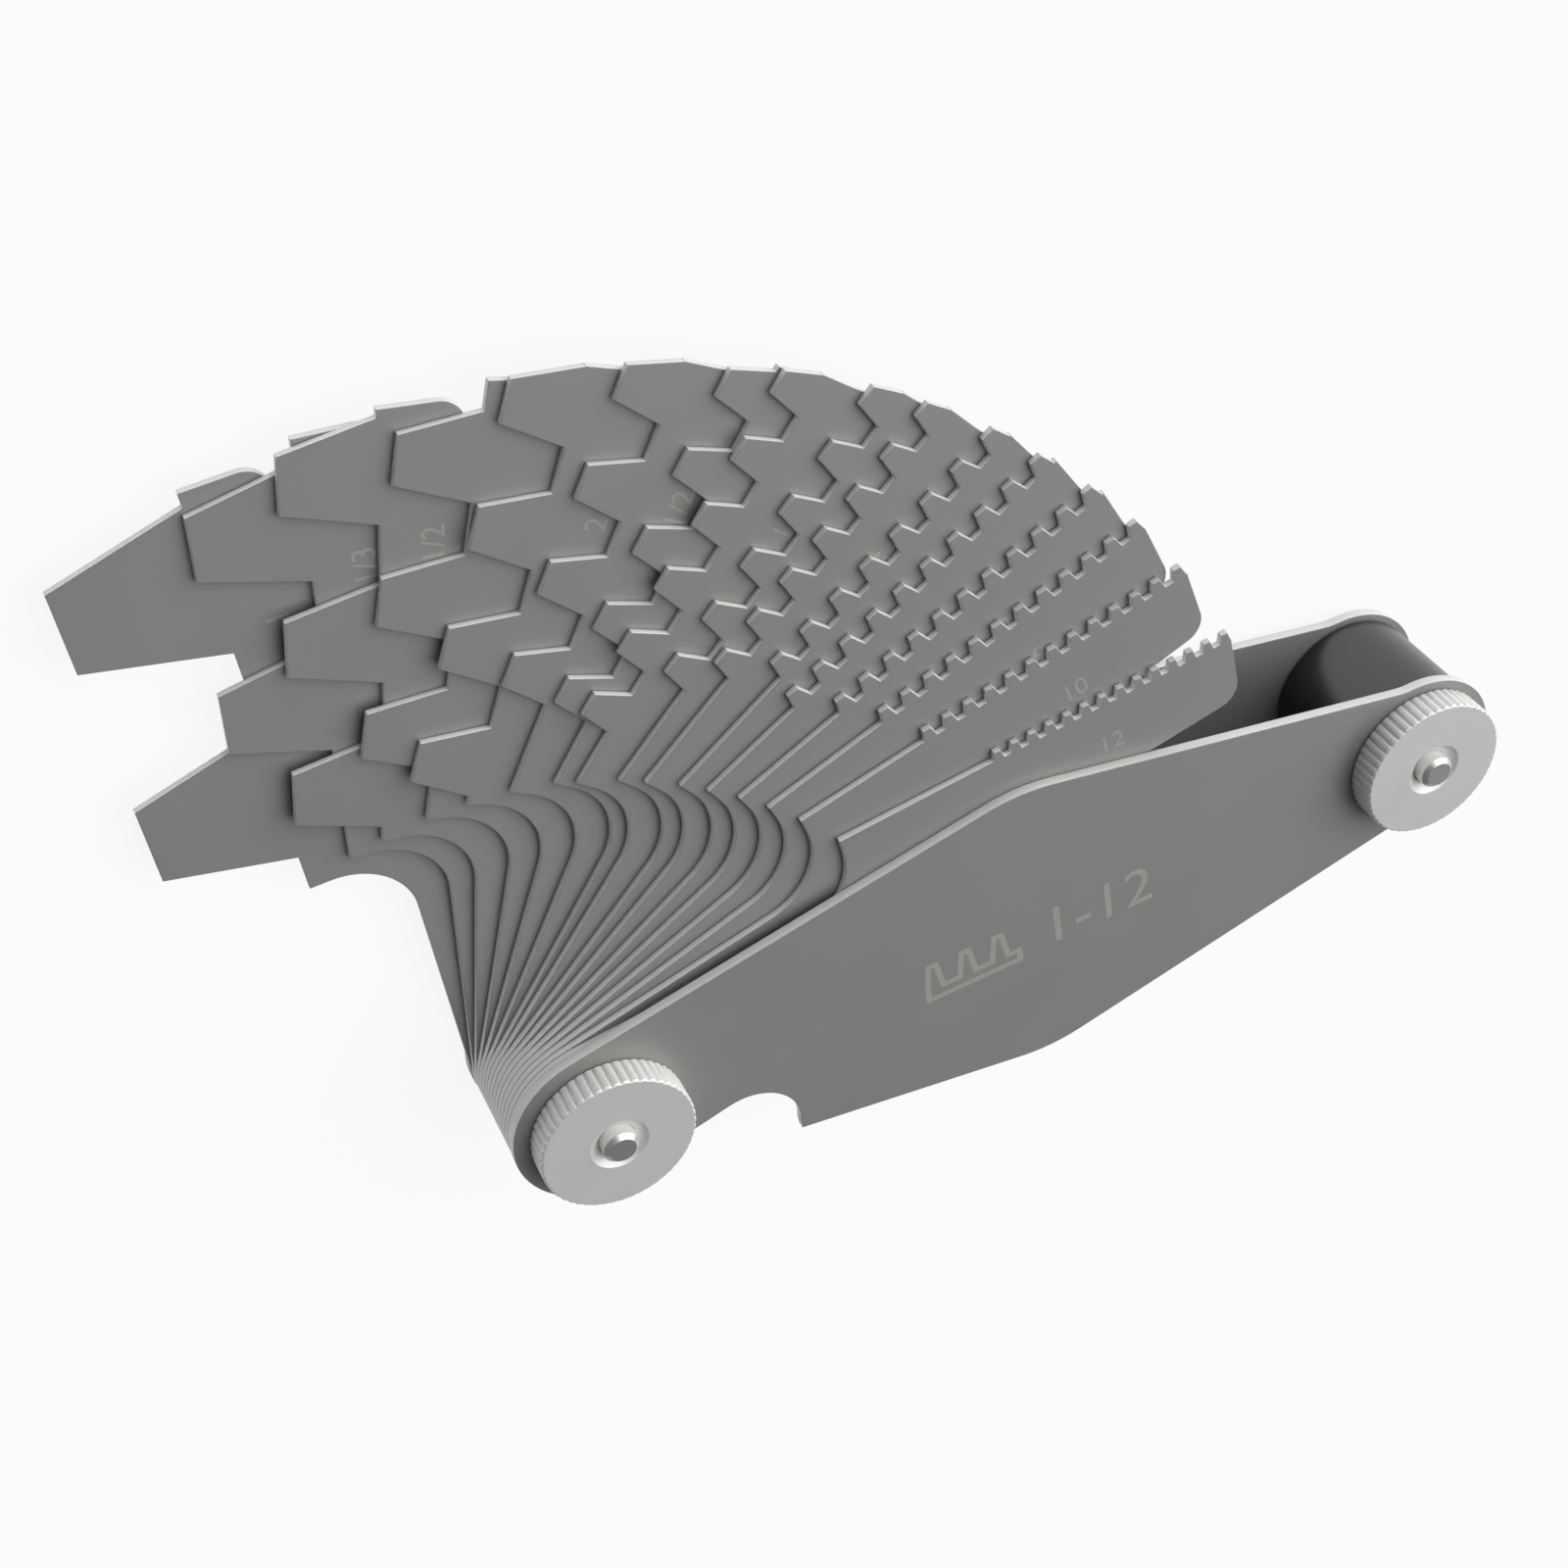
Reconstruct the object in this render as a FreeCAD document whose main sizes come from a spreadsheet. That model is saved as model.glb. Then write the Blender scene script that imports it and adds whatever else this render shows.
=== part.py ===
"""Screw-thread pitch gauge: sixteen trapezoidal-thread leaves fanned between two cover plates.

The gauge lies on its back.  +Z runs from the back cover to the thumb nuts, +X from the leaf
pivot to the spacer, and the leaves fan out towards +Y.  The origin is on the pivot axis, in
the plane of the screw heads' undersides.  All lengths are in millimetres.
"""
import FreeCAD, Part
import math
import os

import Sketcher

# ---------------------------------------------------------------- driving dimensions

COVER_SIZES = [
    ("pivot_span", 101.2, "pivot axis to spacer axis"),
    ("cover_thick", 1.2, "sheet thickness of each cover"),
    ("cover_pivot_radius", 10.5, "round end of a cover at the pivot"),
    ("cover_spacer_radius", 9.75, "round ear of a cover at the spacer"),
    ("cover_bend_x", 51.7, "pivot axis to the widest place of a cover"),
    ("cover_bend_half", 20.1, "half the width of a cover there, before rounding"),
    ("cover_bend_radius", 20.0, "rounding of the widest place"),
    ("cover_neck_half", 9.4, "half width that the long edges would reach at the spacer axis"),
    ("cover_neck_radius", 8.0, "concave blend from a long edge into the ear"),
    ("notch_radius", 6.15, "finger notch in the lower edge"),
    ("notch_x", 14.55, "pivot axis to the notch centre, along the gauge"),
    ("notch_y", 11.95, "pivot axis to the notch centre, across the gauge"),
    ("notch_slope", 13.0, "angle of the run-out from the notch to the round end, degrees"),
]
SCREW_SIZES = [
    ("screw_radius", 2.0, "shank of both screws"),
    ("screw_clearance", 0.05, "radial clearance of every bore on a screw"),
    ("head_radius", 4.0, "screw heads behind the back cover"),
    ("head_height", 1.5, "height of a screw head"),
    ("head_chamfer", 0.4, "edge break of a screw head"),
    ("screw_proud", 1.0, "screw end standing above its nut"),
    ("screw_chamfer", 0.5, "chamfer of the screw end"),
    ("nut_radius", 8.7, "thumb nut over the knurl"),
    ("nut_thick", 3.5, "thickness of a thumb nut"),
    ("nut_chamfer", 0.2, "edge break of a thumb nut's rim"),
    ("nut_recess_radius", 3.3, "mouth of the countersink in a nut's face"),
    ("nut_recess_depth", 0.9, "depth of that countersink"),
    ("knurl_count", 52, "grooves of the straight knurl"),
    ("knurl_depth", 0.25, "depth of a knurl groove"),
    ("knurl_half_width", 0.22, "half width of a knurl groove at the rim"),
    ("spacer_radius", 9.0, "spacer roller between the covers"),
    ("spacer_chamfer", 0.3, "edge break of the spacer roller"),
]
LEAF_SIZES = [
    ("leaf_thick", 0.8, "sheet thickness of a leaf"),
    ("leaf_gap", 0.03, "clearance between neighbours in the stack"),
    ("leaf_end_radius", 10.4, "round end of a leaf at the pivot"),
    ("leaf_land", 20.0, "offset of the toothed edge's base line from the pivot"),
    ("leaf_wall", 33.5, "pivot to the wall where the blade begins, along the base line"),
    ("leaf_notch_radius", 7.5, "concave arc between stem and blade"),
    ("leaf_reach", 80.6, "pivot to the tip edge, along the base line"),
    ("leaf_back_tip", 11.6, "offset of the back edge from the pivot, at the tip"),
    ("leaf_back_bend_x", 46.0, "pivot to the bend of the back edge, along the base line"),
    ("leaf_back_bend", 8.2, "offset of the back edge at its bend"),
    ("leaf_tip_radius", 2.6, "rounding of the tip's back corner"),
    ("inch", 25.4, "one inch"),
    ("flank_angle", 15.0, "slope of each thread flank, degrees: 30 degree included angle"),
    ("crest_share", 0.35, "tooth crest as a share of the pitch"),
    ("depth_share", 0.53, "tooth depth as a share of the pitch"),
    ("relief_share", 0.03, "how far the root lies under the base line, as a share of the pitch"),
]
# Front leaf to back leaf: node name, threads per inch, teeth, land beyond the last tooth, and
# the fan angle of the toothed edge from +X in degrees.
LEAVES = [
    ("leaf_12_tpi", 12, 14, 0.05, 5.1),
    ("leaf_10_tpi", 10, 13, 0.1, 12.8),
    ("leaf_9_tpi", 9, 12, 0.05, 18.4),
    ("leaf_8_tpi", 8, 11, 0.2, 23.1),
    ("leaf_7_tpi", 7, 10, 0.3, 27.9),
    ("leaf_6_tpi", 6, 8, 0.1, 32.0),
    ("leaf_5_tpi", 5, 7, 0.05, 37.1),
    ("leaf_4_tpi", 4, 6, 0.05, 40.7),
    ("leaf_3_half_tpi", 3.5, 6, 0.05, 46.7),
    ("leaf_3_tpi", 3, 5, 0.55, 49.7),
    ("leaf_2_half_tpi", 2.5, 4, 0.05, 56.0),
    ("leaf_2_tpi", 2, 4, 0.05, 62.4),
    ("leaf_1_three_quarter_tpi", 1.75, 3, 3.0, 68.5),
    ("leaf_1_half_tpi", 1.5, 3, 0.85, 75.5),
    ("leaf_1_third_tpi", 4.0 / 3.0, 2, 2.6, 80.9),
    ("leaf_1_tpi", 1, 2, 1.55, 88.4),
]

doc = FreeCAD.newDocument("ThreadPitchGauge")
sheet = doc.addObject("Spreadsheet::Sheet", "Sizes")
next_row = 1


def add_size(alias, value, meaning):
    """Write one driving dimension into the next row of the sheet."""
    global next_row
    sheet.set(f"A{next_row}", meaning)
    sheet.set(f"B{next_row}", repr(value))
    sheet.setAlias(f"B{next_row}", alias)
    next_row += 1


for entry in COVER_SIZES + SCREW_SIZES + LEAF_SIZES:
    add_size(*entry)
for number, (name, tpi, teeth, tip_land, fan) in enumerate(LEAVES, start=1):
    add_size(f"tpi_{number}", tpi, f"{name}: threads per inch")
    add_size(f"teeth_{number}", teeth, f"{name}: teeth")
    add_size(f"tip_land_{number}", tip_land, f"{name}: land beyond the last tooth")
    add_size(f"fan_{number}", fan, f"{name}: fan angle of the toothed edge, degrees")
doc.recompute()


def size(alias):
    """The value of a driving dimension, read back from the sheet."""
    return float(sheet.get(alias))


# ---------------------------------------------------------------- places in the stack

# Expressions in the sheet's aliases.  The stack starts with the screw heads on z = 0.
LEAF_STEP = "(Sizes.leaf_thick + Sizes.leaf_gap)"
BACK_COVER_Z = "Sizes.head_height"
HOUSING_Z = f"({BACK_COVER_Z} + Sizes.cover_thick)"
HOUSING_DEPTH = f"({len(LEAVES)} * {LEAF_STEP} + Sizes.leaf_gap)"
FRONT_COVER_Z = f"({HOUSING_Z} + {HOUSING_DEPTH})"
NUT_Z = f"({FRONT_COVER_Z} + Sizes.cover_thick)"
NUT_TOP_Z = f"({NUT_Z} + Sizes.nut_thick)"
BORE_RADIUS = "(Sizes.screw_radius + Sizes.screw_clearance)"

# ---------------------------------------------------------------- modelling helpers


def new_body(label):
    """A PartDesign body whose label is the node's name."""
    body = doc.addObject("PartDesign::Body", label)
    body.Label = label
    return body


def origin_feature(body, role):
    """A body's own base plane or axis."""
    return next(item for item in body.Origin.OriginFeatures if item.Role == role)


def new_sketch(body, name, height="0"):
    """A sketch parallel to the body's XY plane, at a height given as an expression."""
    sketch = body.newObject("Sketcher::SketchObject", name)
    sketch.AttachmentSupport = (origin_feature(body, "XY_Plane"), [""])
    sketch.MapMode = "FlatFace"
    sketch.setExpression("AttachmentOffset.Base.z", height)
    return sketch


def pin_point(sketch, line, end, x, y):
    """Tie one end of a sketch element to the coordinates that two expressions give."""
    for kind, value in (("DistanceX", x), ("DistanceY", y)):
        index = sketch.addConstraint(Sketcher.Constraint(kind, -1, 1, line, end, 1.0))
        sketch.setExpression(f"Constraints[{index}]", value)


def add_polygon(sketch, corners):
    """A closed polygon; each corner is a pair of expressions."""
    count = len(corners)
    start = [FreeCAD.Vector(math.cos(math.tau * i / count), math.sin(math.tau * i / count), 0)
             for i in range(count)]
    for i in range(count):
        sketch.addGeometry(Part.LineSegment(start[i], start[(i + 1) % count]))
    for i in range(count):
        sketch.addConstraint(Sketcher.Constraint("Coincident", i, 2, (i + 1) % count, 1))
    for i, (x, y) in enumerate(corners):
        pin_point(sketch, i, 1, x, y)


def add_circle(sketch, radius, x="0", y="0"):
    """A circle of a given radius; the radius and the centre are expressions."""
    circle = sketch.addGeometry(Part.Circle(FreeCAD.Vector(0, 0, 0), FreeCAD.Vector(0, 0, 1), 1.0))
    index = sketch.addConstraint(Sketcher.Constraint("Radius", circle, 1.0))
    sketch.setExpression(f"Constraints[{index}]", radius)
    pin_point(sketch, circle, 3, x, y)


def pad(body, sketch, thickness):
    """Raise a sketch by a thickness given as an expression."""
    feature = body.newObject("PartDesign::Pad", f"{sketch.Name}_Pad")
    feature.Profile = sketch
    feature.setExpression("Length", thickness)
    doc.recompute()
    return feature


def pocket(body, sketch, depth):
    """Cut a sketch upwards through a depth given as an expression."""
    feature = body.newObject("PartDesign::Pocket", f"{sketch.Name}_Pocket")
    feature.Profile = sketch
    feature.Reversed = True
    feature.setExpression("Length", depth)
    before = feature.BaseFeature.Shape.Volume
    doc.recompute()
    if not feature.Shape.Volume < before:
        raise RuntimeError(f"{feature.Label} removes nothing")
    return feature


def disc(body, name, radius, thickness, height="0", x="0", y="0"):
    """Add a round disc to a body."""
    sketch = new_sketch(body, name, height)
    add_circle(sketch, radius, x, y)
    return pad(body, sketch, thickness)


def bore(body, name, radius, depth, height="0", x="0", y="0"):
    """Cut a round hole into a body."""
    sketch = new_sketch(body, name, height)
    add_circle(sketch, radius, x, y)
    return pocket(body, sketch, depth)


def upright_edge(feature, x, y):
    """Name of the straight edge along Z nearest to a place in the plan."""
    def distance(item):
        point = item[1].Vertexes[0].Point
        return math.hypot(point.x - x, point.y - y)

    upright = [(i, edge) for i, edge in enumerate(feature.Shape.Edges, start=1)
               if len(edge.Vertexes) == 2 and edge.Length > 1e-6
               and math.hypot(edge.Vertexes[0].X - edge.Vertexes[1].X,
                              edge.Vertexes[0].Y - edge.Vertexes[1].Y) < 1e-6]
    return f"Edge{min(upright, key=distance)[0]}"


def round_edges(body, name, edges, radius):
    """Fillet upright edges of the body's tip; the radius is an expression."""
    feature = body.newObject("PartDesign::Fillet", name)
    feature.Base = (feature.BaseFeature or body.Tip, edges)
    feature.setExpression("Radius", radius)
    doc.recompute()
    return feature


def ring_edges(feature, radius, height):
    """Names of the circular edges of one radius at one height, about the body's Z axis."""
    names = []
    for i, edge in enumerate(feature.Shape.Edges, start=1):
        curve = edge.Curve
        if isinstance(curve, Part.Circle) and abs(curve.Radius - radius) < 1e-6 \
                and abs(curve.Center.z - height) < 1e-6:
            names.append(f"Edge{i}")
    return names


def chamfer_rings(body, name, base, rings, width):
    """Chamfer the circular edges of `base` given as (radius, height) pairs."""
    feature = body.newObject("PartDesign::Chamfer", name)
    feature.Base = (base, [edge for ring in rings for edge in ring_edges(base, *ring)])
    feature.setExpression("Size", width)
    doc.recompute()
    return feature


def tangent_slope(radius, x, y, side):
    """Expression for the slope of the line through (x, y) tangent to a circle about the origin.

    side is "-" when the circle lies under the line and "+" when it lies over it.
    """
    return f"(atan({y} / {x}) {side} asin({radius} / sqrt({x}^2 + {y}^2)))"


# ---------------------------------------------------------------- covers


def make_cover(label, height):
    """A lozenge plate with two round ends, a finger notch and two screw holes."""
    body = new_body(label)
    body.setExpression("Placement.Base.z", height)
    radius = "Sizes.cover_pivot_radius"
    slope = tangent_slope(radius, "Sizes.cover_bend_x", "Sizes.cover_bend_half", "-")
    tangent_x = f"-{radius} * sin({slope})"
    tangent_y = f"{radius} * cos({slope})"
    bend_x, bend_half = "Sizes.cover_bend_x", "Sizes.cover_bend_half"
    span, neck_half = "Sizes.pivot_span", "Sizes.cover_neck_half"
    outline = new_sketch(body, "Lozenge")
    add_polygon(outline, [
        (tangent_x, tangent_y), (tangent_x, f"-{tangent_y}"), (bend_x, f"-{bend_half}"),
        (span, f"-{neck_half}"), (span, neck_half), (bend_x, bend_half)])
    blank = pad(body, outline, "Sizes.cover_thick")

    bends = [upright_edge(blank, size("cover_bend_x"), side * size("cover_bend_half"))
             for side in (1, -1)]
    round_edges(body, "Bends", bends, "Sizes.cover_bend_radius")

    notch_x, notch_y, notch = "Sizes.notch_x", "-Sizes.notch_y", "Sizes.notch_radius"
    bore(body, "FingerNotch", notch, "Sizes.cover_thick", x=notch_x, y=notch_y)
    tilt = "(Sizes.notch_slope * 1 deg)"
    run = "(Sizes.notch_x + Sizes.cover_pivot_radius)"
    top_x, top_y = f"({notch_x} - {notch} * sin({tilt}))", f"({notch_y} + {notch} * cos({tilt}))"
    side_x, side_y = f"({notch_x} + {notch} * cos({tilt}))", f"({notch_y} + {notch} * sin({tilt}))"
    run_out = new_sketch(body, "NotchRunOut")
    add_polygon(run_out, [
        (top_x, top_y),
        (f"{top_x} - {run} * cos({tilt})", f"{top_y} - {run} * sin({tilt})"),
        (f"{top_x} - {run} * cos({tilt})", f"{top_y} - {run} * sin({tilt}) - 2 * {run}"),
        (side_x, f"{side_y} - 2 * {run}"),
        (side_x, side_y)])
    pocket(body, run_out, "Sizes.cover_thick")

    disc(body, "PivotEnd", radius, "Sizes.cover_thick")
    ear = disc(body, "SpacerEar", "Sizes.cover_spacer_radius", "Sizes.cover_thick", x=span)
    # The ear meets each long edge on the pivot's side of its widest place.
    joint_x = size("pivot_span") - 0.3 * size("cover_spacer_radius")
    necks = [upright_edge(ear, joint_x, side * size("cover_spacer_radius")) for side in (1, -1)]
    round_edges(body, "Necks", necks, "Sizes.cover_neck_radius")
    bore(body, "PivotHole", BORE_RADIUS, "Sizes.cover_thick")
    bore(body, "SpacerHole", BORE_RADIUS, "Sizes.cover_thick", x=span)
    return body


# ---------------------------------------------------------------- leaves


def make_leaf(number, label):
    """One gauge leaf: round end, stem, concave notch, toothed blade and rounded tip.

    The leaf is drawn with its toothed edge parallel to +X, then turned to its fan angle.
    """
    body = new_body(label)
    from_back = len(LEAVES) - number
    body.setExpression("Placement.Base.z", f"{HOUSING_Z} + Sizes.leaf_gap + {from_back} * {LEAF_STEP}")
    body.setExpression("Placement.Rotation.Angle", f"Sizes.fan_{number} * 1 deg")

    pitch = f"(Sizes.inch / Sizes.tpi_{number})"
    depth = f"(Sizes.depth_share * {pitch})"
    flank = "tan(Sizes.flank_angle * 1 deg)"
    crest = f"(Sizes.crest_share * {pitch})"
    root = f"(Sizes.leaf_land - Sizes.relief_share * {pitch})"
    foot_outer = f"(Sizes.leaf_reach - Sizes.tip_land_{number})"
    foot_inner = f"({foot_outer} - {crest} - 2 * {depth} * {flank})"
    first_tooth = f"({foot_inner} - (Sizes.teeth_{number} - 1) * {pitch})"

    end_radius = "Sizes.leaf_end_radius"
    bend_x, bend = "Sizes.leaf_back_bend_x", "Sizes.leaf_back_bend"
    slope = tangent_slope(end_radius, bend_x, bend, "+")
    outline = new_sketch(body, "Outline")
    add_polygon(outline, [
        ("0", end_radius),
        ("0", "0"),
        (f"{end_radius} * sin({slope})", f"-{end_radius} * cos({slope})"),
        (bend_x, bend),
        ("Sizes.leaf_reach", "Sizes.leaf_back_tip"),
        ("Sizes.leaf_reach", root),
        (f"{first_tooth} + {crest}", root),
        (f"{first_tooth} + {crest}", "Sizes.leaf_land"),
        ("Sizes.leaf_wall", "Sizes.leaf_land"),
        ("Sizes.leaf_wall", end_radius)])
    blank = pad(body, outline, "Sizes.leaf_thick")

    corner = upright_edge(blank, size("leaf_wall"), size("leaf_end_radius"))
    notch = round_edges(body, "Notch", [corner], "Sizes.leaf_notch_radius")
    tip = upright_edge(notch, size("leaf_reach"), size("leaf_back_tip"))
    round_edges(body, "Tip", [tip], "Sizes.leaf_tip_radius")
    disc(body, "RoundEnd", end_radius, "Sizes.leaf_thick")
    bore(body, "PivotHole", BORE_RADIUS, "Sizes.leaf_thick")

    tooth = new_sketch(body, "Tooth")
    add_polygon(tooth, [
        (foot_inner, root),
        (foot_outer, root),
        (f"{foot_outer} - {depth} * {flank}", f"{root} + {depth}"),
        (f"{foot_inner} + {depth} * {flank}", f"{root} + {depth}")])
    last_tooth = pad(body, tooth, "Sizes.leaf_thick")
    teeth = body.newObject("PartDesign::LinearPattern", "Teeth")
    teeth.Originals = [last_tooth]
    teeth.Direction = (origin_feature(body, "X_Axis"), [""])
    teeth.Reversed = True
    teeth.Mode = "Spacing"
    teeth.setExpression("Offset", pitch)
    teeth.setExpression("Occurrences", f"Sizes.teeth_{number}")
    body.Tip = teeth
    doc.recompute()
    return body


# ---------------------------------------------------------------- screws, nuts, spacer


def place(body, x, height):
    """Stand a body on a screw axis at a height; both are expressions."""
    body.setExpression("Placement.Base.x", x)
    body.setExpression("Placement.Base.z", height)


def make_screw(label, x):
    """A round-headed screw, head down, reaching through the stack and the nut."""
    body = new_body(label)
    place(body, x, "0")
    disc(body, "Head", "Sizes.head_radius", "Sizes.head_height")
    length = f"{NUT_TOP_Z} + Sizes.screw_proud"
    shank = disc(body, "Shank", "Sizes.screw_radius", length)
    chamfer_rings(body, "HeadChamfer", shank, [(size("head_radius"), 0.0)], "Sizes.head_chamfer")
    headed = body.Tip
    top = headed.Shape.BoundBox.ZMax
    chamfer_rings(body, "EndChamfer", headed, [(size("screw_radius"), top)], "Sizes.screw_chamfer")
    return body


def make_nut(label, x):
    """A thin thumb nut with a straight knurl and a countersunk face."""
    body = new_body(label)
    place(body, x, NUT_Z)
    blank = disc(body, "Blank", "Sizes.nut_radius", "Sizes.nut_thick")
    rims = [(size("nut_radius"), 0.0), (size("nut_radius"), size("nut_thick"))]
    chamfer_rings(body, "Rims", blank, rims, "Sizes.nut_chamfer")
    bore(body, "Bore", BORE_RADIUS, "Sizes.nut_thick")

    countersink = body.newObject("PartDesign::SubtractiveCone", "Countersink")
    countersink.setExpression("Placement.Base.z", "Sizes.nut_thick - Sizes.nut_recess_depth")
    countersink.setExpression("Radius1", BORE_RADIUS)
    countersink.setExpression("Radius2", "Sizes.nut_recess_radius")
    countersink.setExpression("Height", "Sizes.nut_recess_depth")
    doc.recompute()

    groove = new_sketch(body, "Groove")
    rim = "Sizes.nut_radius"
    overlap = "Sizes.knurl_depth"
    add_polygon(groove, [
        (f"{rim} - Sizes.knurl_depth", "0"),
        (rim, "Sizes.knurl_half_width"),
        (f"{rim} + {overlap}", "Sizes.knurl_half_width"),
        (f"{rim} + {overlap}", "-Sizes.knurl_half_width"),
        (rim, "-Sizes.knurl_half_width")])
    first_groove = pocket(body, groove, "Sizes.nut_thick")
    knurl = body.newObject("PartDesign::PolarPattern", "Knurl")
    knurl.Originals = [first_groove]
    knurl.Axis = (origin_feature(body, "Z_Axis"), [""])
    knurl.Angle = 360.0
    knurl.setExpression("Occurrences", "Sizes.knurl_count")
    body.Tip = knurl
    doc.recompute()
    return body


def make_spacer(label):
    """The roller that holds the covers apart at the far end."""
    body = new_body(label)
    place(body, "Sizes.pivot_span", HOUSING_Z)
    blank = disc(body, "Roller", "Sizes.spacer_radius", HOUSING_DEPTH)
    top = blank.Shape.BoundBox.ZMax
    rims = [(size("spacer_radius"), 0.0), (size("spacer_radius"), top)]
    chamfer_rings(body, "Edges", blank, rims, "Sizes.spacer_chamfer")
    bore(body, "Bore", BORE_RADIUS, HOUSING_DEPTH)
    return body


# ---------------------------------------------------------------- the assembly

nodes = [make_cover("back_cover", BACK_COVER_Z), make_cover("front_cover", FRONT_COVER_Z)]
for number, (name, tpi, teeth, tip_land, fan) in enumerate(LEAVES, start=1):
    nodes.append(make_leaf(number, name))
nodes.append(make_screw("pivot_screw", "0"))
nodes.append(make_screw("spacer_screw", "Sizes.pivot_span"))
nodes.append(make_nut("pivot_nut", "0"))
nodes.append(make_nut("spacer_nut", "Sizes.pivot_span"))
nodes.append(make_spacer("spacer_roller"))
doc.recompute()

for item in doc.Objects:
    if "Invalid" in item.State or "Error" in item.State:
        raise RuntimeError(f"{item.Label} did not build: {item.State}")
for node in nodes:
    if node.Shape.isNull() or not node.Shape.isValid() or len(node.Shape.Solids) != 1:
        raise RuntimeError(f"{node.Label} is not one valid solid")

os.makedirs("parts", exist_ok=True)
for node in nodes:
    node.Shape.exportStep(f"parts/{node.Label}.step")
    print(f"{node.Label}: {node.Shape.Volume:.1f} mm3, {len(node.Shape.Faces)} faces")
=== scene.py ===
"""Thread pitch gauge: broken edges, satin steel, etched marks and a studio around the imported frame."""
import math

import bmesh
import bpy
from bpy.props import FloatProperty, FloatVectorProperty, IntProperty, PointerProperty
from mathutils import Matrix, Vector


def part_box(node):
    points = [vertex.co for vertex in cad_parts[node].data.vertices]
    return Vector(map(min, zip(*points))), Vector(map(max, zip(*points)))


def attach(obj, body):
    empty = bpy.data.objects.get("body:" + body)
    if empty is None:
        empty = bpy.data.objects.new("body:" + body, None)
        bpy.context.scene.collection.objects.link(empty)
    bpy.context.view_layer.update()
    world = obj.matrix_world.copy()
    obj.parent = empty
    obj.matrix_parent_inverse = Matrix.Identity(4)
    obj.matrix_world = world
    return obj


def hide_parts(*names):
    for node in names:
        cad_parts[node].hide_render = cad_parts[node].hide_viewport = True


bl_info = {
    "name": "Thread Pitch Gauge",
    "version": (1, 0, 0),
    "blender": (4, 5, 0),
    "location": "3D View > Sidebar > Gauge",
    "description": "Dresses a fanned thread pitch gauge in satin steel, with etched marks and a studio",
    "category": "Object",
}

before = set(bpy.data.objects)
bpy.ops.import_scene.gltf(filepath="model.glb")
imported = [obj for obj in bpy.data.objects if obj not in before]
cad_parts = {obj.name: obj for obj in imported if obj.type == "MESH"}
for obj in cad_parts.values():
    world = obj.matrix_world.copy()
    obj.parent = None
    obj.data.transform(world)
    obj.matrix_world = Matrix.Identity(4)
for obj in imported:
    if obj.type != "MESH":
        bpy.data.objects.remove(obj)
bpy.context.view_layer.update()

MM = 0.001
PIVOT = (0.0, 0.0)
SPACER = ((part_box("spacer_roller")[0].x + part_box("spacer_roller")[1].x) / 2, 0.0)

# Front leaf to back leaf: node, the number etched on it, and the fan angle of its toothed edge.
LEAVES = [
    ("leaf_12_tpi", "12", 5.1),
    ("leaf_10_tpi", "10", 12.8),
    ("leaf_9_tpi", "9", 18.4),
    ("leaf_8_tpi", "8", 23.1),
    ("leaf_7_tpi", "7", 27.9),
    ("leaf_6_tpi", "6", 32.0),
    ("leaf_5_tpi", "5", 37.1),
    ("leaf_4_tpi", "4", 40.7),
    ("leaf_3_half_tpi", "3 1/2", 46.7),
    ("leaf_3_tpi", "3", 49.7),
    ("leaf_2_half_tpi", "2 1/2", 56.0),
    ("leaf_2_tpi", "2", 62.4),
    ("leaf_1_three_quarter_tpi", "1 3/4", 68.5),
    ("leaf_1_half_tpi", "1 1/2", 75.5),
    ("leaf_1_third_tpi", "1 1/3", 80.9),
    ("leaf_1_tpi", "1", 88.4),
]
GRAIN = "Grain"
WELD = 0.001 * MM
LEVEL = 0.9999  # a face's normal rises more than this where the face is level
CAP_HEIGHT = 0.72  # a capital's height over its font's size

# Noise waves for each millimetre, along and across the grain.
GRAIN_WAVES = (0.12, 5.0, 1.0)
CLOUD_WAVES = (0.07, 0.11, 1.0)
RING_WAVES = (7.0, 1.0, 1.0)
TURNED_CLOUD_WAVES = (0.15, 0.15, 1.0)
FROST_WAVES = (9.0, 9.0, 1.0)

# How far a surface faces up where its near-white edge tone, a painted highlight, ends and where its face
# tone is full.
WALL_HIGHLIGHT, FACE_TONE = 0.35, 0.95
DARKER, LIGHTER = 0.88, 1.12

# A drawn thread profile: its pitch and root over its height, its crest and flank over its pitch.
PROFILE_TEETH = 3
PROFILE_PITCH, PROFILE_ROOT = 0.72, 0.38
PROFILE_CREST, PROFILE_FLANK = 0.36, 0.14
RANGE_ALONG = 3.9  # from the profile's foot to the middle of the range, over its height

FLOOR_HALF_WIDTH = 4.0
FLOOR_DROP = 0.02 * MM
FLOOR_WHITE = 0.9
KEY_RIM, KEY_CORE = 0.60, 0.90  # cosines from the key light's direction


# ---------------------------------------------------------------- sizes and colours


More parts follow.
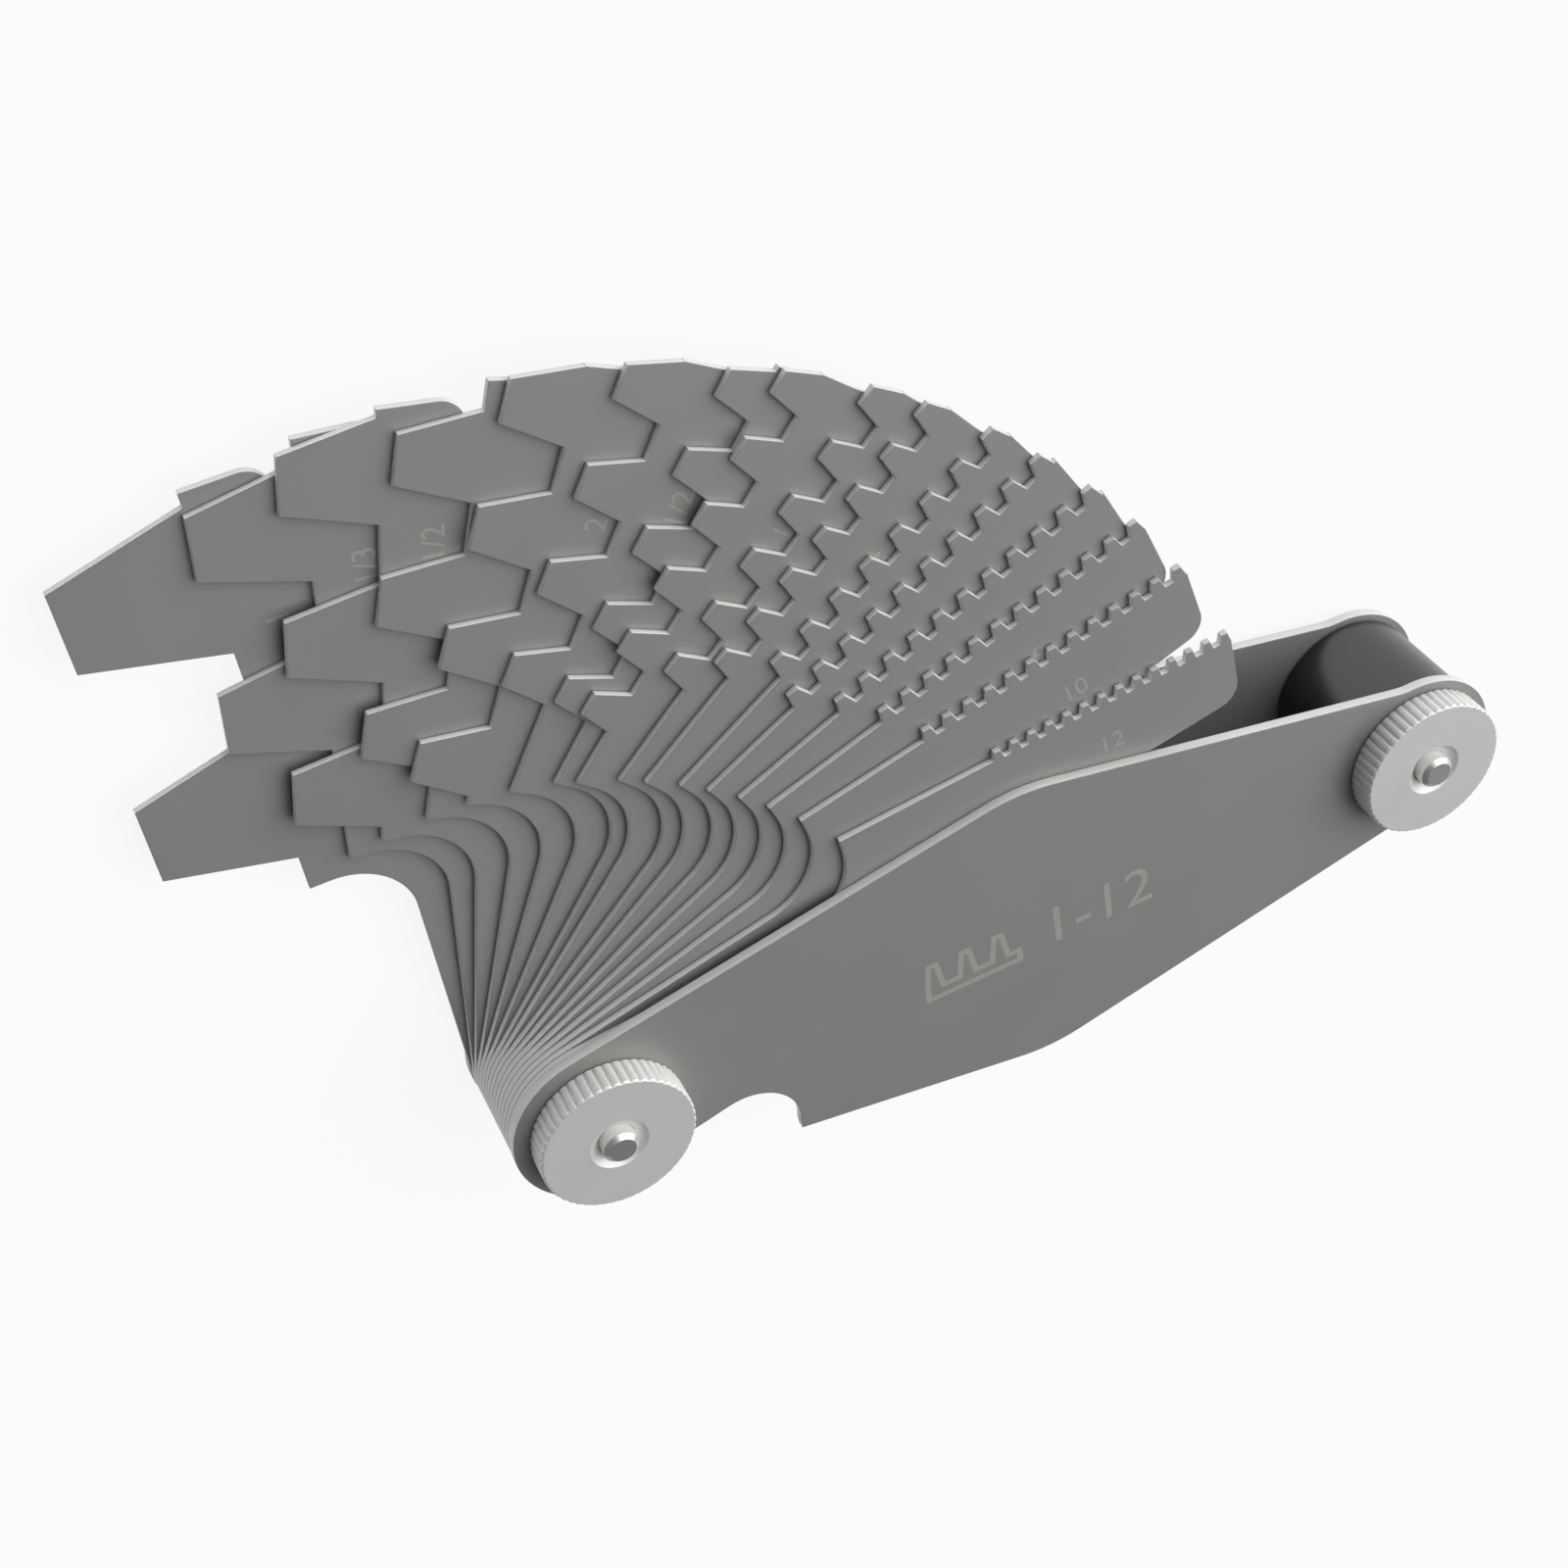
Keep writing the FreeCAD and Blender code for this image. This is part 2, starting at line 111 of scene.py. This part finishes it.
class GaugeShape(bpy.types.PropertyGroup):
    """Sizes of the details that are added to the frame."""

    plate_break: FloatProperty(
        name="Plate edge break", description="Bevel along the outlines of covers and leaves",
        default=0.10 * MM, unit="LENGTH")
    turned_break: FloatProperty(
        name="Turned edge break", description="Bevel round the ends of nuts, screws and roller",
        default=0.1 * MM, unit="LENGTH")
    knurl_break: FloatProperty(
        name="Knurl rounding", description="Bevel along the ridges of the knurl",
        default=0.13 * MM, unit="LENGTH")
    break_steps: IntProperty(
        name="Edge break steps", description="Facets across a bevel", default=2)
    mark_height: FloatProperty(
        name="Leaf mark height", description="Height of the number etched on a leaf",
        default=2.3 * MM, unit="LENGTH")
    mark_along: FloatProperty(
        name="Leaf mark along", description="Pivot to the number, along the toothed edge",
        default=65.0 * MM, unit="LENGTH")
    mark_across: FloatProperty(
        name="Leaf mark across", description="Pivot to the number, across the leaf",
        default=14.4 * MM, unit="LENGTH")
    mark_relief: FloatProperty(
        name="Mark relief", description="Height of a mark over its plate",
        default=0.008 * MM, unit="LENGTH")
    cover_mark_height: FloatProperty(
        name="Cover mark height", description="Height of the marks etched on the front cover",
        default=5.6 * MM, unit="LENGTH")
    cover_mark_stroke: FloatProperty(
        name="Cover mark stroke", description="Line width of the etched thread profile",
        default=0.7 * MM, unit="LENGTH")
    cover_mark_along: FloatProperty(
        name="Cover mark along", description="Pivot to the start of the etched thread profile",
        default=37.5 * MM, unit="LENGTH")
    cover_mark_across: FloatProperty(
        name="Cover mark across", description="Pivot to the foot of the marks, across the cover",
        default=-4.2 * MM, unit="LENGTH")


class GaugeFinish(bpy.types.PropertyGroup):
    """Colours of the finishes."""

    plate_color: FloatVectorProperty(
        name="Plate", description="Satin faces of covers and leaves",
        default=(0.29, 0.29, 0.28), subtype="COLOR")
    # Plate edges are painted near white: partly their ground finish, partly a painted highlight.
    wall_highlight_color: FloatVectorProperty(
        name="Plate edge highlight", description="Ground edges of covers and leaves, painted near white as a highlight",
        default=(0.88, 0.88, 0.86), subtype="COLOR")
    nut_color: FloatVectorProperty(
        name="Nuts", description="Turned faces of the thumb nuts",
        default=(0.70, 0.70, 0.685), subtype="COLOR")
    # Nut and screw rims are painted near white, a painted highlight.
    rim_color: FloatVectorProperty(
        name="Nut rim highlight", description="Knurled rims of the thumb nuts, painted near white as a highlight",
        default=(0.92, 0.92, 0.90), subtype="COLOR")
    screw_color: FloatVectorProperty(
        name="Screws", description="Screw ends and heads",
        default=(0.62, 0.62, 0.60), subtype="COLOR")
    roller_color: FloatVectorProperty(
        name="Roller", description="Polished, darkened spacer roller",
        default=(0.10, 0.10, 0.097), subtype="COLOR")
    mark_color: FloatVectorProperty(
        name="Marks", description="Etched, frosted marks",
        default=(0.36, 0.36, 0.34), subtype="COLOR")
    floor_color: FloatVectorProperty(
        name="Floor", description="Studio floor",
        default=(0.8, 0.8, 0.8), subtype="COLOR")


class GaugeStudio(bpy.types.PropertyGroup):
    """Camera and light."""

    eye: FloatVectorProperty(
        name="Camera place", description="Where the camera stands",
        default=(-0.02545, 0.19388, 0.18909), subtype="XYZ", unit="LENGTH")
    target: FloatVectorProperty(
        name="Camera target", description="The point in the middle of the view",
        default=(0.02886, 0.02782, 0.01), subtype="XYZ", unit="LENGTH")
    up: FloatVectorProperty(
        name="Camera up", description="Direction of the view's upper edge",
        default=(0.3869, 0.7317, -0.5612), subtype="DIRECTION")
    lens: FloatProperty(
        name="Lens", description="Focal length in millimetres", default=56.10)
    key: FloatProperty(
        name="Key light", description="Brightness of the large soft key light", default=3.0)
    key_direction: FloatVectorProperty(
        name="Key direction", description="From the gauge towards the key light",
        default=(0.65, 0.24, 0.721), subtype="DIRECTION")
    fill: FloatProperty(
        name="Fill light", description="Brightness of the dome all round", default=0.12)


# ---------------------------------------------------------------- shader building


class Wire:
    """One output socket; arithmetic on it adds Math nodes to its graph."""

    def __init__(self, graph, socket):
        self.graph = graph
        self.socket = socket

    def math(self, operation, *values):
        return self.graph.node("ShaderNodeMath", {"operation": operation}, dict(enumerate(values)))

    def __add__(self, other):
        return self.math("ADD", self, other)

    def __sub__(self, other):
        return self.math("SUBTRACT", self, other)

    def __rsub__(self, other):
        return self.math("SUBTRACT", other, self)

    def __mul__(self, other):
        return self.math("MULTIPLY", self, other)

    def __abs__(self):
        return self.math("ABSOLUTE", self)

    __radd__ = __add__
    __rmul__ = __mul__

    def limited(self):
        """This value kept between 0 and 1."""
        return self.graph.node("ShaderNodeClamp", {}, {"Value": self})

    def rise(self, low, high):
        """A smooth step from 0 at low to 1 at high."""
        return self.graph.node(
            "ShaderNodeMapRange", {"interpolation_type": "SMOOTHSTEP"},
            {"Value": self, "From Min": low, "From Max": high})


class Graph:
    """A node tree, with one way to add a node to it."""

    def __init__(self, tree):
        self.tree = tree
        tree.nodes.clear()

    def node(self, kind, settings=None, inputs=None, output=0):
        """Add a node: its settings first, then a value or a wire for each named socket."""
        made = self.tree.nodes.new(kind)
        for key, value in (settings or {}).items():
            setattr(made, key, value)
        for key, value in (inputs or {}).items():
            if isinstance(value, Wire):
                self.tree.links.new(value.socket, made.inputs[key])
            else:
                made.inputs[key].default_value = value
        return Wire(self, made.outputs[output]) if made.outputs else None

    def mix(self, share, first, second):
        """Blend two colours by a share."""
        return self.node(
            "ShaderNodeMix", {"data_type": "RGBA"}, {0: share, 6: first, 7: second}, 2)

    def noise(self, place, scale, detail=2.0):
        """Noise about 0.5 over a place that is stretched by a scale on each axis, per millimetre."""
        stretched = self.node(
            "ShaderNodeVectorMath", {"operation": "MULTIPLY"},
            {0: place, 1: [factor / MM for factor in scale]})
        return self.node(
            "ShaderNodeTexNoise", {}, {"Vector": stretched, "Scale": 1.0, "Detail": detail}, "Fac")

    def upright(self):
        """How far the surface faces up or down the pivot: 1 on a plate's face, 0 on its edge."""
        normal = self.node("ShaderNodeTexCoord", output="Normal")
        return abs(self.node("ShaderNodeSeparateXYZ", {}, {0: normal}, "Z"))


def rgba(color, factor=1.0):
    """A shader colour from a property's three values."""
    return [channel * factor for channel in color] + [1.0]


def close_finish(graph, inputs, height=None, strength=0.1, depth=0.01 * MM):
    """End a graph in a Principled shader, with an optional bump height."""
    if height is not None:
        inputs["Normal"] = graph.node(
            "ShaderNodeBump", {}, {"Height": height, "Strength": strength, "Distance": depth})
    surface = graph.node("ShaderNodeBsdfPrincipled", {}, inputs)
    graph.node("ShaderNodeOutputMaterial", {}, {"Surface": surface})


def new_finish(name):
    """An empty node material and its graph."""
    material = bpy.data.materials.new(name)
    material.use_nodes = True
    return material, Graph(material.node_tree)


def satin_plate(name, face, wall_highlight, roughness=0.50, metallic=0.4, wall_metallic=0.08):
    """Rolled and satin-ground sheet: fine lengthwise grain, faint clouds, and edges painted near white,
    partly their ground finish and partly a painted highlight.
    """
    material, graph = new_finish(name)
    place = graph.node("ShaderNodeUVMap", {"uv_map": GRAIN})
    grain = graph.noise(place, GRAIN_WAVES, 4.0)
    clouds = graph.noise(place, CLOUD_WAVES, 2.0)
    tone = (grain - 0.5) * 0.10 + (clouds - 0.5) * 0.12
    # The share of the near-white edge colour on walls and bevels: partly their ground finish, partly a
    # painted highlight.
    edge = 1.0 - graph.upright().rise(WALL_HIGHLIGHT, FACE_TONE)
    dark = graph.mix((tone + 0.5).limited(), rgba(face, DARKER), rgba(face, LIGHTER))
    color = graph.mix(edge, dark, rgba(wall_highlight))
    rough = roughness + (clouds - 0.5) * 0.08 + (grain - 0.5) * 0.08
    metal = metallic + edge * (wall_metallic - metallic)
    close_finish(graph, {"Base Color": color, "Roughness": rough, "Metallic": metal}, grain, 0.06)
    return material


def turned_metal(name, color, rim_highlight, roughness, metallic, rim_metallic, ring_contrast=0.12):
    """Lathe-turned metal: faint rings about the piece's own axis, and a rim painted in a tone of its
    own, which on the nuts and screws is a painted highlight.
    """
    material, graph = new_finish(name)
    place = graph.node("ShaderNodeUVMap", {"uv_map": GRAIN})
    radius = graph.node("ShaderNodeVectorMath", {"operation": "LENGTH"}, {0: place}, "Value")
    along = graph.node("ShaderNodeCombineXYZ", {}, {"X": radius})
    rings = graph.noise(along, RING_WAVES, 3.0)
    clouds = graph.noise(place, TURNED_CLOUD_WAVES, 2.0)
    tone = (rings - 0.5) * ring_contrast + (clouds - 0.5) * 0.10
    face = graph.mix((tone + 0.5).limited(), rgba(color, DARKER), rgba(color, LIGHTER))
    # The share of the rim colour on sides and bevels: near white on the nuts and screws, a painted
    # highlight.
    edge = 1.0 - graph.upright().rise(WALL_HIGHLIGHT, FACE_TONE)
    shade = graph.mix(edge, face, rgba(rim_highlight))
    rough = roughness + (clouds - 0.5) * 0.06
    metal = metallic + edge * (rim_metallic - metallic)
    inputs = {"Base Color": shade, "Roughness": rough, "Metallic": metal}
    close_finish(graph, inputs, rings, 0.05)
    return material


def etched(name, color):
    """Frosted, slightly uneven etching."""
    material, graph = new_finish(name)
    place = graph.node("ShaderNodeTexCoord", output="Object")
    frost = graph.noise(place, FROST_WAVES, 3.0)
    shade = graph.mix(frost, rgba(color, 0.8), rgba(color, 1.2))
    close_finish(graph, {"Base Color": shade, "Roughness": 0.6, "Metallic": 0.3}, frost, 0.15)
    return material


# ---------------------------------------------------------------- piece building


def welded(node):
    """A merged copy of a CAD node, with its flat faces made whole."""
    shape = bmesh.new()
    shape.from_mesh(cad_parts[node].data)
    bmesh.ops.remove_doubles(shape, verts=shape.verts, dist=WELD)
    bmesh.ops.dissolve_limit(
        shape, angle_limit=math.radians(0.5), verts=shape.verts, edges=shape.edges)
    return shape


def break_edges(shape, width, steps, sharper_than=50.0):
    """Bevel the edges that are sharper than an angle and do not run along the pivot's axis."""
    limit = math.radians(sharper_than)
    rims = [edge for edge in shape.edges
            if edge.is_manifold and edge.calc_face_angle() > limit
            and abs(edge.verts[0].co.z - edge.verts[1].co.z) < WELD]
    bmesh.ops.bevel(
        shape, geom=rims, offset=width, segments=steps, profile=0.5, affect="EDGES", material=-1)


def round_knurl(shape, width, steps, sharper_than=30.0):
    """Bevel the ridges that run along the pivot's axis, outside the grooves."""
    limit = math.radians(sharper_than)
    ridges = [edge for edge in shape.edges
              if edge.is_manifold and edge.is_convex and edge.calc_face_angle() > limit
              and abs(edge.verts[0].co.z - edge.verts[1].co.z) > width]
    bmesh.ops.bevel(
        shape, geom=ridges, offset=width, segments=steps, profile=0.5, affect="EDGES", material=-1)


def map_grain(shape, centre, angle):
    """Store each corner's plan place about a piece's own axis and direction, for its grain."""
    turn = Matrix.Rotation(-math.radians(angle), 2)
    layer = shape.loops.layers.uv.new(GRAIN)
    for face in shape.faces:
        for loop in face.loops:
            plan = Vector((loop.vert.co.x - centre[0], loop.vert.co.y - centre[1]))
            loop[layer].uv = turn @ plan


def shade(shape, sharper_than=30.0):
    """Smooth shading, with flat faces and sharp edges kept crisp."""
    limit = math.radians(sharper_than)
    for face in shape.faces:
        face.smooth = True
    for edge in shape.edges:
        level = any(abs(face.normal.z) > LEVEL for face in edge.link_faces)
        edge.smooth = not level and edge.is_manifold and edge.calc_face_angle() < limit


def add_piece(name, shape, body, material, replaced=()):
    """Make an object of a finished bmesh and let it ride on a body."""
    mesh = bpy.data.meshes.new(name)
    shape.to_mesh(mesh)
    shape.free()
    if "custom_normal" in mesh.attributes:
        mesh.attributes.remove(mesh.attributes["custom_normal"])
    mesh.materials.clear()
    mesh.materials.append(material)
    piece = bpy.data.objects.new(name, mesh)
    bpy.context.scene.collection.objects.link(piece)
    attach(piece, body)
    if replaced:
        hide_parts(*replaced)
    return piece


def dressed(node, suffix, body, material, width, centre=PIVOT, angle=0.0):
    """A CAD node's shape with broken edges and a grain map, standing for that node."""
    shape = welded(node)
    break_edges(shape, width, bpy.context.scene.gauge_shape.break_steps)
    map_grain(shape, centre, angle)
    shade(shape)
    return add_piece(f"{node}_{suffix}", shape, body, material, (node,))


def flat_text(text, height):
    """A bmesh of a flat line of text, centred on the origin."""
    curve = bpy.data.curves.new(text, "FONT")
    curve.body = text
    curve.size = height / CAP_HEIGHT
    curve.align_x = "CENTER"
    curve.align_y = "CENTER"
    curve.resolution_u = 3
    holder = bpy.data.objects.new(text, curve)
    bpy.context.scene.collection.objects.link(holder)
    mesh = bpy.data.meshes.new_from_object(holder)
    shape = bmesh.new()
    shape.from_mesh(mesh)
    bpy.data.objects.remove(holder)
    bpy.data.curves.remove(curve)
    bpy.data.meshes.remove(mesh)
    return shape


def raise_flat(shape, relief):
    """Give a flat shape a thickness, half of it sunk in its plate."""
    made = bmesh.ops.extrude_face_region(shape, geom=shape.faces[:])
    lifted = [item for item in made["geom"] if isinstance(item, bmesh.types.BMVert)]
    bmesh.ops.translate(shape, verts=lifted, vec=(0.0, 0.0, 2 * relief))
    bmesh.ops.translate(shape, verts=shape.verts, vec=(0.0, 0.0, -relief))
    bmesh.ops.recalc_face_normals(shape, faces=shape.faces)


# ---------------------------------------------------------------- operators


class GAUGE_OT_covers(bpy.types.Operator):
    """Dress the two cover plates"""

    bl_idname = "gauge.covers"
    bl_label = "Covers"

    def execute(self, context):
        colors, sizes = context.scene.gauge_finish, context.scene.gauge_shape
        steel = satin_plate("Cover satin steel", colors.plate_color, colors.wall_highlight_color)
        for node in ("front_cover", "back_cover"):
            dressed(node, "plate", "case", steel, sizes.plate_break)
        return {"FINISHED"}


class GAUGE_OT_leaves(bpy.types.Operator):
    """Dress the sixteen toothed leaves"""

    bl_idname = "gauge.leaves"
    bl_label = "Leaves"

    def execute(self, context):
        colors, sizes = context.scene.gauge_finish, context.scene.gauge_shape
        steel = satin_plate("Leaf satin steel", colors.plate_color, colors.wall_highlight_color)
        for node, _, fan in LEAVES:
            dressed(node, "plate", node, steel, sizes.plate_break, angle=fan)
        return {"FINISHED"}


class GAUGE_OT_nuts(bpy.types.Operator):
    """Dress the two knurled thumb nuts"""

    bl_idname = "gauge.nuts"
    bl_label = "Thumb nuts"

    def execute(self, context):
        colors, sizes = context.scene.gauge_finish, context.scene.gauge_shape
        steel = turned_metal(
            "Nut turned steel", colors.nut_color, colors.rim_color,
            roughness=0.45, metallic=0.4, rim_metallic=0.05)
        for node, centre in (("pivot_nut", PIVOT), ("spacer_nut", SPACER)):
            shape = welded(node)
            round_knurl(shape, sizes.knurl_break, sizes.break_steps)
            break_edges(shape, sizes.turned_break, sizes.break_steps)
            map_grain(shape, centre, 0.0)
            shade(shape)
            add_piece(f"{node}_knurled", shape, node, steel, (node,))
        return {"FINISHED"}


class GAUGE_OT_screws(bpy.types.Operator):
    """Dress the two screws"""

    bl_idname = "gauge.screws"
    bl_label = "Screws"

    def execute(self, context):
        colors, sizes = context.scene.gauge_finish, context.scene.gauge_shape
        # The screws' sides and bevels take the near-white rim colour, a painted highlight.
        steel = turned_metal(
            "Screw turned steel", colors.screw_color, colors.rim_color,
            roughness=0.34, metallic=0.85, rim_metallic=0.4)
        for node, centre in (("pivot_screw", PIVOT), ("spacer_screw", SPACER)):
            dressed(node, "turned", "case", steel, sizes.turned_break, centre)
        return {"FINISHED"}


class GAUGE_OT_roller(bpy.types.Operator):
    """Dress the spacer roller"""

    bl_idname = "gauge.roller"
    bl_label = "Spacer roller"

    def execute(self, context):
        colors, sizes = context.scene.gauge_finish, context.scene.gauge_shape
        black = turned_metal(
            "Roller dark steel", colors.roller_color, colors.roller_color,
            roughness=0.3, metallic=0.9, rim_metallic=0.9, ring_contrast=0.2)
        dressed("spacer_roller", "turned", "case", black, sizes.turned_break, SPACER)
        return {"FINISHED"}


class GAUGE_OT_leaf_marks(bpy.types.Operator):
    """Etch its pitch number on each leaf"""

    bl_idname = "gauge.leaf_marks"
    bl_label = "Leaf numbers"

    def execute(self, context):
        colors, sizes = context.scene.gauge_finish, context.scene.gauge_shape
        frosted = etched("Leaf etching", colors.mark_color)
        for node, text, fan in LEAVES:
            shape = flat_text(text, sizes.mark_height)
            raise_flat(shape, sizes.mark_relief)
            place = Vector((sizes.mark_along, sizes.mark_across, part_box(node)[1].z))
            bmesh.ops.translate(shape, verts=shape.verts, vec=place)
            turn = Matrix.Rotation(math.radians(fan), 3, "Z")
            bmesh.ops.rotate(shape, cent=(0.0, 0.0, 0.0), matrix=turn, verts=shape.verts)
            add_piece(f"{node}_number", shape, node, frosted)
        return {"FINISHED"}


class GAUGE_OT_cover_marks(bpy.types.Operator):
    """Etch a thread profile and the range of pitches on the front cover"""

    bl_idname = "gauge.cover_marks"
    bl_label = "Cover marks"

    def execute(self, context):
        colors, sizes = context.scene.gauge_finish, context.scene.gauge_shape
        frosted = etched("Cover etching", colors.mark_color)
        height, stroke = sizes.cover_mark_height, sizes.cover_mark_stroke
        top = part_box("front_cover")[1].z
        foot = Vector((sizes.cover_mark_along, sizes.cover_mark_across, top))
        profile = thread_outline(height, stroke)
        raise_flat(profile, sizes.mark_relief)
        bmesh.ops.translate(profile, verts=profile.verts, vec=foot)
        add_piece("front_cover_profile", profile, "case", frosted)
        text = flat_text("1-12", height)
        raise_flat(text, sizes.mark_relief)
        beyond = Vector((height * RANGE_ALONG, height / 2, 0.0))
        bmesh.ops.translate(text, verts=text.verts, vec=foot + beyond)
        add_piece("front_cover_range", text, "case", frosted)
        return {"FINISHED"}


def thread_outline(height, stroke):
    """The outline of a short toothed blade, as a flat band of one width; its foot is at y = 0."""
    pitch, root = height * PROFILE_PITCH, height * PROFILE_ROOT
    crest, flank = pitch * PROFILE_CREST, pitch * PROFILE_FLANK
    length = PROFILE_TEETH * pitch
    corners = [(0.0, 0.0), (length, 0.0), (length, root)]
    for tooth in reversed(range(PROFILE_TEETH)):
        start = tooth * pitch
        corners += [(start + 2 * flank + crest, root), (start + flank + crest, height),
                    (start + flank, height), (start, root)]
    shape = bmesh.new()
    blade = shape.faces.new([shape.verts.new((x, y, 0.0)) for x, y in corners])
    blade.normal_update()
    bmesh.ops.inset_region(
        shape, faces=[blade], thickness=stroke, use_boundary=True, use_even_offset=True)
    inner = max(shape.faces, key=lambda face: len(face.verts))
    bmesh.ops.delete(shape, geom=[inner], context="FACES_ONLY")
    return shape


class GAUGE_OT_stage(bpy.types.Operator):
    """Set the floor, the lights and the camera"""

    bl_idname = "gauge.stage"
    bl_label = "Studio"

    def execute(self, context):
        colors, studio = context.scene.gauge_finish, context.scene.gauge_studio
        add_floor(colors.floor_color)
        light_dome(studio)
        add_camera(studio)
        return {"FINISHED"}


def add_floor(color):
    """A wide pale floor just under the screw heads, white to the camera and in reflections."""
    shape = bmesh.new()
    bmesh.ops.create_grid(shape, x_segments=1, y_segments=1, size=FLOOR_HALF_WIDTH)
    bmesh.ops.translate(shape, verts=shape.verts, vec=(0.0, 0.0, -FLOOR_DROP))
    mesh = bpy.data.meshes.new("Floor")
    shape.to_mesh(mesh)
    shape.free()
    material, graph = new_finish("Studio floor")
    seen = [graph.node("ShaderNodeLightPath", output=ray)
            for ray in ("Is Camera Ray", "Is Glossy Ray", "Is Transmission Ray")]
    share = (seen[0] + seen[1] + seen[2]).limited() * FLOOR_WHITE
    paint = graph.node("ShaderNodeBsdfDiffuse", {}, {"Color": rgba(color)})
    white = graph.node("ShaderNodeEmission", {}, {"Strength": 1.0})
    mixed = graph.node("ShaderNodeMixShader", {}, {0: share, 1: paint, 2: white})
    graph.node("ShaderNodeOutputMaterial", {}, {"Surface": mixed})
    mesh.materials.append(material)
    floor = bpy.data.objects.new("Floor", mesh)
    bpy.context.scene.collection.objects.link(floor)


def light_dome(studio):
    """A soft dome, with a large key light high over the spacer's end."""
    world = bpy.data.worlds.new("Studio dome")
    bpy.context.scene.world = world
    world.use_nodes = True
    graph = Graph(world.node_tree)
    direction = graph.node("ShaderNodeTexCoord", output="Generated")
    facing = graph.node(
        "ShaderNodeVectorMath", {"operation": "DOT_PRODUCT"},
        {0: direction, 1: studio.key_direction}, "Value")
    level = studio.fill + facing.rise(KEY_RIM, KEY_CORE) * studio.key
    back = graph.node("ShaderNodeBackground", {}, {"Strength": level})
    graph.node("ShaderNodeOutputWorld", {}, {"Surface": back})


def add_camera(studio):
    """The camera, from its place, target and up direction."""
    camera = bpy.data.cameras.new("Camera")
    camera.lens = studio.lens
    camera.clip_start = 0.01
    holder = bpy.data.objects.new("Camera", camera)
    ahead = (Vector(studio.target) - Vector(studio.eye)).normalized()
    right = ahead.cross(Vector(studio.up)).normalized()
    axes = Matrix((right, right.cross(ahead), -ahead)).transposed()
    holder.matrix_world = Matrix.Translation(Vector(studio.eye)) @ axes.to_4x4()
    bpy.context.scene.collection.objects.link(holder)
    bpy.context.scene.camera = holder
    bpy.context.scene.view_settings.view_transform = "Standard"


class GAUGE_PT_panel(bpy.types.Panel):
    """The gauge's operators, in the 3D view's sidebar"""

    bl_idname = "GAUGE_PT_panel"
    bl_label = "Thread pitch gauge"
    bl_space_type = "VIEW_3D"
    bl_region_type = "UI"
    bl_category = "Gauge"

    def draw(self, context):
        for operator in OPERATORS:
            self.layout.operator(operator.bl_idname)


GROUPS = {"gauge_shape": GaugeShape, "gauge_finish": GaugeFinish, "gauge_studio": GaugeStudio}
OPERATORS = (
    GAUGE_OT_covers, GAUGE_OT_leaves, GAUGE_OT_nuts, GAUGE_OT_screws, GAUGE_OT_roller,
    GAUGE_OT_leaf_marks, GAUGE_OT_cover_marks, GAUGE_OT_stage)


def register():
    for cls in (*GROUPS.values(), *OPERATORS, GAUGE_PT_panel):
        bpy.utils.register_class(cls)
    for name, group in GROUPS.items():
        setattr(bpy.types.Scene, name, PointerProperty(type=group))


def unregister():
    for name in GROUPS:
        delattr(bpy.types.Scene, name)
    for cls in (GAUGE_PT_panel, *reversed(OPERATORS), *GROUPS.values()):
        bpy.utils.unregister_class(cls)


def main():
    """Build every piece and the studio."""
    register()
    bpy.ops.gauge.covers()
    bpy.ops.gauge.leaves()
    bpy.ops.gauge.nuts()
    bpy.ops.gauge.screws()
    bpy.ops.gauge.roller()
    bpy.ops.gauge.leaf_marks()
    bpy.ops.gauge.cover_marks()
    bpy.ops.gauge.stage()


if __name__ == "__main__":
    main()
